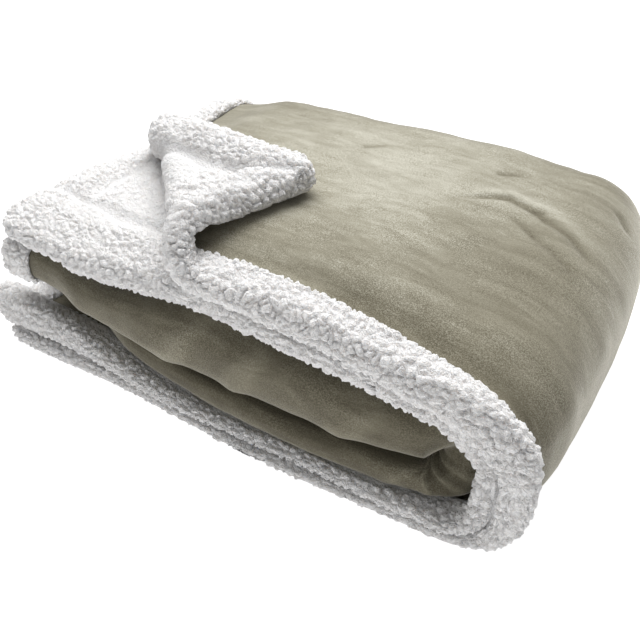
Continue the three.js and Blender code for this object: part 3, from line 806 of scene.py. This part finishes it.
def make_face():
    """The plush panel, whose edge lies under the border."""

    def filled(_, edge):
        return edge > FACE_INSET

    levels = [flat_level(FACE_LOW), flat_level(FACE_HIGH)]
    return cloth_shell("plush_face", levels, filled, face_relief, FACE_ALONG, FACE_ACROSS)


# How open each point of a cloth lies to the outside, by a few short rays
RAYS = Row(reach=0.06, lift=0.004, count=5)


def read_all(items, name, width, kind=float):
    """One property of all the items of a mesh, with a row of the array for each item."""
    values = np.empty(len(items) * width, kind)
    items.foreach_get(name, values)
    return values.reshape(-1, width)


def exposure(piece, others):
    """How open each point of a piece lies to the outside, from 0 to 1."""
    vertices, faces = [], []
    for other in others:
        corners = read_all(other.data.loops, "vertex_index", 1, int).reshape(-1, 4)
        faces.extend(map(tuple, corners + len(vertices)))
        vertices.extend(map(tuple, read_all(other.data.vertices, "co", 3)))
    tree = BVHTree.FromPolygons(vertices, faces)
    opened = np.zeros(len(piece.data.vertices))
    for n, vertex in enumerate(piece.data.vertices):
        normal = vertex.normal
        start = vertex.co + normal * RAYS.lift
        side = normal.orthogonal().normalized()
        along = normal.cross(side)
        for ray in (normal, normal + side, normal - side, normal + along, normal - along):
            way = ray.normalized()
            hit = tree.ray_cast(start, way, RAYS.reach)[0]
            below_floor = start.z + way.z * RAYS.reach < 0
            if hit is None and not below_floor:
                opened[n] += 1 / RAYS.count
    return opened


# Small functions that build node trees
def add_node(tree, kind, inputs=None, **settings):
    made = tree.nodes.new(kind)
    for name, value in settings.items():
        setattr(made, name, value)
    for socket, value in (inputs or {}).items():
        if isinstance(value, bpy.types.NodeSocket):
            tree.links.new(value, made.inputs[socket])
        else:
            made.inputs[socket].default_value = value
    return made


def math_node(tree, operation, *values, clamp=False):
    inputs = dict(enumerate(values))
    return add_node(tree, "ShaderNodeMath", inputs, operation=operation, use_clamp=clamp).outputs[0]


def vector_node(tree, operation, *values, scale=None):
    inputs = dict(enumerate(values))
    if scale is not None:
        inputs["Scale"] = scale
    return add_node(tree, "ShaderNodeVectorMath", inputs, operation=operation).outputs[0]


def add(tree, *values):
    total = values[0]
    for value in values[1:]:
        total = math_node(tree, "ADD", total, value)
    return total


def bent(tree, place, scale, detail, push):
    """Places pushed about by noise, so that cells drawn there aren't regular."""
    about = add_node(tree, "ShaderNodeTexNoise", {"Vector": place, "Scale": scale, "Detail": detail})
    return vector_node(tree, "ADD", place, vector_node(tree, "SCALE", about.outputs["Color"], scale=push))


def from_crevice(tree, place, scale):
    """How far from the crevices between the cells of a pile: 0 in a crevice, 1 on top."""
    inputs = {"Vector": place, "Scale": scale}
    cells = add_node(tree, "ShaderNodeTexVoronoi", inputs, feature="DISTANCE_TO_EDGE")
    return math_node(tree, "DIVIDE", cells.outputs["Distance"], CREVICE_WIDTH, clamp=True)


# Sherpa pile
UNDER_PILE = 0.0036
CREVICE_WIDTH = 0.3
CLUMPS = Row(least=0.1, bend_scale=60.0, bend_detail=3.0, bend=0.008, roundness=2.2, level=0.6)
FUZZ = Row(per_curl=1.25, detail=2.0, roughness=0.65, distortion=0.6, middle=0.5)
PILE_FORM = {
    "Clump size": 0.0095,
    "Clump height": 0.0043,
    "Curl size": 0.0048,
    "Curl height": 0.0016,
    "Fuzz": 0.0017,
    "Tuck": 0.0015,
}


def start_tree(name, inputs):
    tree = bpy.data.node_groups.new(name, "GeometryNodeTree")
    for label, kind in [("Geometry", "Geometry"), *inputs]:
        tree.interface.new_socket(label, in_out="INPUT", socket_type="NodeSocket" + kind)
    tree.interface.new_socket("Geometry", in_out="OUTPUT", socket_type="NodeSocketGeometry")
    return tree, add_node(tree, "NodeGroupInput").outputs


def finish_tree(tree, geometry, material):
    """No instance is made on the way, so the tree ends in its material alone."""
    painted = add_node(tree, "GeometryNodeSetMaterial", {"Geometry": geometry, "Material": material})
    out = add_node(tree, "NodeGroupOutput")
    tree.links.new(painted.outputs[0], out.inputs[0])
    return tree


def clump_tree():
    """The open faces of a cloth, raised into soft curled clumps where an attribute says so."""
    sizes = [(label, "Float") for label in PILE_FORM]
    tree, given = start_tree("curled pile", [("Where", "String"), *sizes, ("Material", "Material")])
    where = add_node(tree, "GeometryNodeInputNamedAttribute", {"Name": given["Where"]}, data_type="FLOAT")
    where = where.outputs["Attribute"]
    chosen = math_node(tree, "GREATER_THAN", where, CLUMPS.least)
    cloth = {"Geometry": given["Geometry"], "Selection": chosen}
    kept = add_node(tree, "GeometryNodeSeparateGeometry", cloth, domain="FACE").outputs["Selection"]
    fine = add_node(tree, "GeometryNodeSubdivisionSurface", {"Mesh": kept, "Level": 2}).outputs[0]
    place = add_node(tree, "GeometryNodeInputPosition").outputs[0]
    normal = add_node(tree, "GeometryNodeInputNormal").outputs[0]
    warped = bent(tree, place, CLUMPS.bend_scale, CLUMPS.bend_detail, CLUMPS.bend)
    opened, rises = [], []
    for part in ("Clump", "Curl"):
        inward = from_crevice(tree, warped, math_node(tree, "DIVIDE", 1.0, given[part + " size"]))
        fall = math_node(tree, "POWER", math_node(tree, "SUBTRACT", 1.0, inward), CLUMPS.roundness)
        opened.append(math_node(tree, "SUBTRACT", 1.0, fall))
        above = math_node(tree, "SUBTRACT", opened[-1], CLUMPS.level)
        rises.append(math_node(tree, "MULTIPLY", above, given[part + " height"]))
    scale = math_node(tree, "DIVIDE", FUZZ.per_curl, given["Curl size"])
    form = {"Detail": FUZZ.detail, "Roughness": FUZZ.roughness, "Distortion": FUZZ.distortion}
    fuzz = add_node(tree, "ShaderNodeTexNoise", {"Vector": place, "Scale": scale, **form})
    loose = math_node(tree, "SUBTRACT", fuzz.outputs["Fac"], FUZZ.middle)
    rise = add(tree, *rises, math_node(tree, "MULTIPLY", loose, given["Fuzz"]))
    full = math_node(tree, "MULTIPLY", rise, where)
    tucked = math_node(tree, "MULTIPLY", math_node(tree, "SUBTRACT", 1.0, where), given["Tuck"])
    up = vector_node(tree, "SCALE", normal, scale=math_node(tree, "SUBTRACT", full, tucked))
    sideways = vector_node(tree, "SUBTRACT", fuzz.outputs["Color"], (FUZZ.middle,) * 3)
    slip = vector_node(tree, "SCALE", sideways, scale=given["Fuzz"])
    # How near each point lies to a crevice between the clumps, stored for the material to paint shade
    # there
    narrowed = math_node(tree, "SUBTRACT", 1.0, opened[0], clamp=True)
    crevice = {"Geometry": fine, "Name": "crevice", "Value": math_node(tree, "MULTIPLY", narrowed, where)}
    told = add_node(tree, "GeometryNodeStoreNamedAttribute", crevice, data_type="FLOAT", domain="POINT")
    moved = {"Geometry": told.outputs[0], "Offset": vector_node(tree, "ADD", up, slip)}
    raised = add_node(tree, "GeometryNodeSetPosition", moved).outputs[0]
    soft = add_node(tree, "GeometryNodeSetShadeSmooth", {"Geometry": raised}).outputs[0]
    return finish_tree(tree, soft, given["Material"])


def grow(name, host, tree, settings):
    """Runs a tree on a copy of the host and keeps what it makes as one mesh."""
    piece = put(name, host.data)
    growth = piece.modifiers.new("growth", "NODES")
    growth.node_group = tree
    sockets = {item.name: item.identifier for item in tree.interface.items_tree if item.in_out == "INPUT"}
    for label, value in settings.items():
        growth[sockets[label]] = value
    bpy.context.view_layer.update()
    ready = piece.evaluated_get(bpy.context.evaluated_depsgraph_get())
    mesh = bpy.data.meshes.new_from_object(ready)
    mesh.name = name
    piece.modifiers.remove(growth)
    piece.data = mesh
    return piece


def mark(piece, name, values):
    """Tells a piece's points a number each, under a name."""
    layer = piece.data.attributes.new(name, "FLOAT", "POINT")
    layer.data.foreach_set("value", np.ascontiguousarray(values, np.float32))


# Where the pile shows and how high it stands, by how open a point lies, by its distance
# from the edge, and flatter in the sewn groove and in the middle of the cloth
SHOWN = Row(start=0.05, end=0.3, rim=2, seam=0.5, less_in_groove=0.85)
INNER_CLOTH = Row(start=66, end=84, less=0.5)

# The stretches of pile, and how far in the corners and the rims reach. The left one ends
# at a place along the stack.
STRETCHES = ("corner", "band", "second", "left", "back")
STRETCH = Row(corner=260, rim=120, left_end=-200)


def pile_strength(at, opened):
    edge = edge_distance(at.u, at.v)
    under = at.level == UNDERSIDE
    grooved = np.clip(sewn_groove(at.u, at.v) / SEAM_GROOVE.depth, 0, 1) * under
    inner_wall = (at.level == BELOW_BORDER) & (edge > BORDER.width - SHOWN.seam)
    skin = under | (at.level == BORDER_TOP) | (edge < SHOWN.rim) | inner_wall
    shown = smooth(opened, SHOWN.start, SHOWN.end) * skin * (1 - SHOWN.less_in_groove * grooved)
    inner = smooth(edge, INNER_CLOTH.start, INNER_CLOTH.end) * under
    return shown * (1 - INNER_CLOTH.less * inner)


def stretch_owners(at):
    """Which of the stretches of pile each point belongs to, by number."""
    at_sides = (at.v < STRETCH.corner) | (at.v > CLOTH.width - STRETCH.corner)
    in_corner = (at.u < STRETCH.corner) & at_sides & (at.level == UNDERSIDE)
    in_left = along_strip(at.u).x < STRETCH.left_end
    tests = [in_corner, at.v < STRETCH.rim, at.v > CLOTH.width - STRETCH.rim, in_left]
    return np.select(tests, range(len(tests)), len(tests))


def own_points(piece, owner, number):
    """The points of one stretch of pile, and the next row of the stretches after it."""
    ends = read_all(piece.data.edges, "vertices", 2, int)
    own = owner == number
    for a, b in (ends.T, ends.T[::-1]):
        own[b[(owner[a] == number) & (owner[b] > number)]] = True
    return own


def grow_pile(sherpa, owner, strength, material):
    clumps = clump_tree()
    pile = []
    for number, stretch in enumerate(STRETCHES):
        name = "pile_" + stretch
        mark(sherpa, name, strength * own_points(sherpa, owner, number))
        pile.append(grow(name, sherpa, clumps, {"Where": name, **PILE_FORM, "Material": material}))
    return pile


def sink(piece, shown):
    """Lowers a cloth under its pile, so that the pile alone is seen."""
    spots = read_all(piece.data.vertices, "co", 3)
    normals = read_all(piece.data.vertices, "normal", 3)
    lowered = spots - normals * (shown[:, None] * UNDER_PILE)
    piece.data.vertices.foreach_set("co", lowered.ravel())
    piece.data.update()


# Materials
SPECULAR = 0.15
LIGHT_INSIDE = Row(radius=(1.0, 0.95, 0.9), scale=0.006)


def new_material(name, roughness, sheen=0.0, sheen_roughness=0.5, sheen_tint=(1, 1, 1), subsurface=0.0):
    material = bpy.data.materials.new(name)
    material.use_nodes = True
    shader = material.node_tree.nodes["Principled BSDF"]
    values = {
        "Roughness": roughness,
        "Sheen Weight": sheen,
        "Sheen Roughness": sheen_roughness,
        "Sheen Tint": (*sheen_tint, 1),
        "Specular IOR Level": SPECULAR,
        "Subsurface Weight": subsurface,
        "Subsurface Radius": LIGHT_INSIDE.radius,
        "Subsurface Scale": LIGHT_INSIDE.scale,
    }
    for socket, value in values.items():
        shader.inputs[socket].default_value = value
    return material, material.node_tree, shader


def noise(tree, where, size, detail=2.0, stretch=(1, 1, 1), turn=0.0, distortion=0.0):
    """Noise whose features are about size metres across."""
    turned = {"Vector": where, "Rotation": (0, 0, turn), "Scale": stretch}
    settings = {
        "Vector": add_node(tree, "ShaderNodeMapping", turned).outputs[0],
        "Scale": 1 / size,
        "Detail": detail,
        "Roughness": 0.6,
        "Distortion": distortion,
    }
    return add_node(tree, "ShaderNodeTexNoise", settings).outputs["Fac"]


def spread(tree, value, low, high, start=0.3, end=0.7):
    """A value between start and end, spread between low and high."""
    ends = {"From Min": start, "From Max": end, "To Min": low, "To Max": high}
    return add_node(tree, "ShaderNodeMapRange", {"Value": value, **ends}).outputs[0]


def colour_along(tree, value, stops):
    ramp = add_node(tree, "ShaderNodeValToRGB", {"Fac": value})
    elements = ramp.color_ramp.elements
    while len(elements) < len(stops):
        elements.new(0.5)
    for element, (at, colour) in zip(elements, stops):
        element.position = at
        element.color = (*colour, 1)
    return ramp.outputs["Color"]


def finish_material(tree, shader, colour, relief, strength, distance):
    """Gives a shader its colour and its fine relief."""
    tree.links.new(colour, shader.inputs["Base Color"])
    settings = {"Strength": strength, "Distance": distance, "Height": relief}
    tree.links.new(add_node(tree, "ShaderNodeBump", settings).outputs[0], shader.inputs["Normal"])


def told_number(tree, name):
    return add_node(tree, "ShaderNodeAttribute", attribute_name=name).outputs["Fac"]


def plush_material():
    """Stone-coloured plush: pile speckle, brushed streaks and soft crushed patches."""
    material, tree, shader = new_material(
        "plush_pile", roughness=0.9, sheen=1.0, sheen_roughness=0.35, sheen_tint=(0.92, 0.89, 0.8)
    )
    flat = add_node(tree, "ShaderNodeUVMap", uv_map="flat_cloth").outputs["UV"]
    place = add_node(tree, "ShaderNodeTexCoord").outputs["Object"]
    speckle = noise(tree, place, size=0.0012)
    strength = spread(tree, noise(tree, flat, size=0.05), 0.3, 1.0)
    grain = math_node(tree, "MULTIPLY", spread(tree, speckle, -0.3, 0.3, 0.36, 0.64), strength)
    strokes = noise(tree, flat, size=0.02, detail=4.0, stretch=(0.28, 1, 1), turn=0.45, distortion=1.2)
    crossing = noise(tree, flat, size=0.012, detail=3.0, stretch=(0.3, 1, 1), turn=-0.5, distortion=0.6)
    patches = noise(tree, flat, size=0.085, detail=3.0, stretch=(0.6, 1, 1), turn=0.4, distortion=0.5)
    # The nap, with the light and shade painted into the plush's colour that the face's points are told
    nap_and_painted_light = add(
        tree,
        grain,
        spread(tree, strokes, -0.11, 0.11),
        spread(tree, crossing, -0.06, 0.06),
        spread(tree, patches, 0.45, 0.65),
        told_number(tree, "painted_light_tone"),
    )
    stops = [
        (0.0, (0.09, 0.08, 0.055)),
        (0.35, (0.18, 0.164, 0.118)),
        (0.65, (0.29, 0.272, 0.21)),
        (1.0, (0.5, 0.485, 0.41)),
    ]
    relief = add(tree, speckle, strokes)
    finish_material(tree, shader, colour_along(tree, nap_and_painted_light, stops), relief, strength=0.5, distance=0.0011)
    return material


def sherpa_material():
    """White curled pile, a little greyer down between the curls, where shade is painted."""
    material, tree, shader = new_material(
        "sherpa_pile", roughness=0.95, sheen=0.25, sheen_tint=(0.95, 0.94, 0.95), subsurface=0.5
    )
    place = add_node(tree, "ShaderNodeTexCoord").outputs["Object"]
    fuzz = noise(tree, place, size=0.0014, detail=3.0)
    warped = bent(tree, place, scale=260.0, detail=1.0, push=0.003)
    curls = math_node(tree, "POWER", from_crevice(tree, warped, scale=270.0), 0.6)
    # Painted shade: the tone is greyer in the crevices between the clumps and between the curls
    shade = math_node(tree, "MULTIPLY", told_number(tree, "crevice"), -0.15)
    tone = add(tree, spread(tree, fuzz, -0.08, 0.08), spread(tree, curls, 0.62, 0.84, 0.0, 1.0), shade)
    stops = [(0.0, (0.62, 0.6, 0.59)), (0.5, (0.83, 0.815, 0.81)), (1.0, (0.93, 0.92, 0.91))]
    relief = add(tree, fuzz, curls)
    finish_material(tree, shader, colour_along(tree, tone, stops), relief, strength=0.8, distance=0.0016)
    return material


# Studio
FLOOR = Row(reach=6.0, below=0.0005, roughness=0.9, grey=0.3, glow=0.95)
SKY_STRENGTH = 0.22
LIGHTS = [
    Row(name="key", energy=154, size=(3.0, 3.0), place=(-0.5, 1.1, 2.6), aim=(0, 0, 0.1)),
    Row(name="front fill", energy=8, size=(2.4, 2.4), place=(0.2, -2.6, 0.3), aim=(0, 0, 0.05)),
    Row(name="floor bounce", energy=0.8, size=(1.0, 0.3), place=(0, -0.44, 0.003), aim=(0, -0.4, 1)),
]


def make_floor():
    mesh = bpy.data.meshes.new("floor")
    far = FLOOR.reach
    mesh.from_pydata([(-far, -far, 0), (far, -far, 0), (far, far, 0), (-far, far, 0)], [], [(0, 1, 2, 3)])
    ground = put("floor", mesh)
    ground.location.z = -FLOOR.below
    material, _, shader = new_material("pale_floor", FLOOR.roughness)
    shader.inputs["Base Color"].default_value = (FLOOR.grey, FLOOR.grey, FLOOR.grey, 1)
    shader.inputs["Emission Color"].default_value = (1, 1, 1, 1)
    shader.inputs["Emission Strength"].default_value = FLOOR.glow
    ground.data.materials.append(material)


def make_light(light):
    data = bpy.data.lights.new(light.name, "AREA")
    data.shape = "RECTANGLE"
    data.energy = light.energy
    data.size, data.size_y = light.size
    lamp = put(light.name, data)
    lamp.location = light.place
    lamp.rotation_euler = (Vector(light.aim) - lamp.location).to_track_quat("-Z", "Y").to_euler()


def make_studio():
    make_floor()
    world = bpy.data.worlds.new("world")
    bpy.context.scene.world = world
    world.use_nodes = True
    sky = world.node_tree.nodes["Background"]
    sky.inputs["Color"].default_value = (1.0, 1.0, 1.0, 1)
    sky.inputs["Strength"].default_value = SKY_STRENGTH
    for light in LIGHTS:
        make_light(light)
    view = bpy.context.scene.view_settings
    view.view_transform = "Standard"
    view.look = "None"


def main():
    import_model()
    make_camera()
    sherpa, on_sherpa = make_sherpa()
    face, on_face = make_face()
    # The face's points are told the light and shade painted into the plush's colour
    mark(face, "painted_light_tone", painted_light_tone(on_face.u, on_face.v))
    sherpa_pile = sherpa_material()
    sherpa.data.materials.append(sherpa_pile)
    strength = pile_strength(on_sherpa, exposure(sherpa, (sherpa, face)))
    pile = grow_pile(sherpa, stretch_owners(on_sherpa), strength, sherpa_pile)
    sink(sherpa, strength)
    face.data.materials.append(plush_material())
    for piece, node in ((sherpa, "sherpa_back"), (face, "fleece_face")):
        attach(piece, "root")
        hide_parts(node)
    for piece in pile:
        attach(piece, "root")

    make_studio()


main()
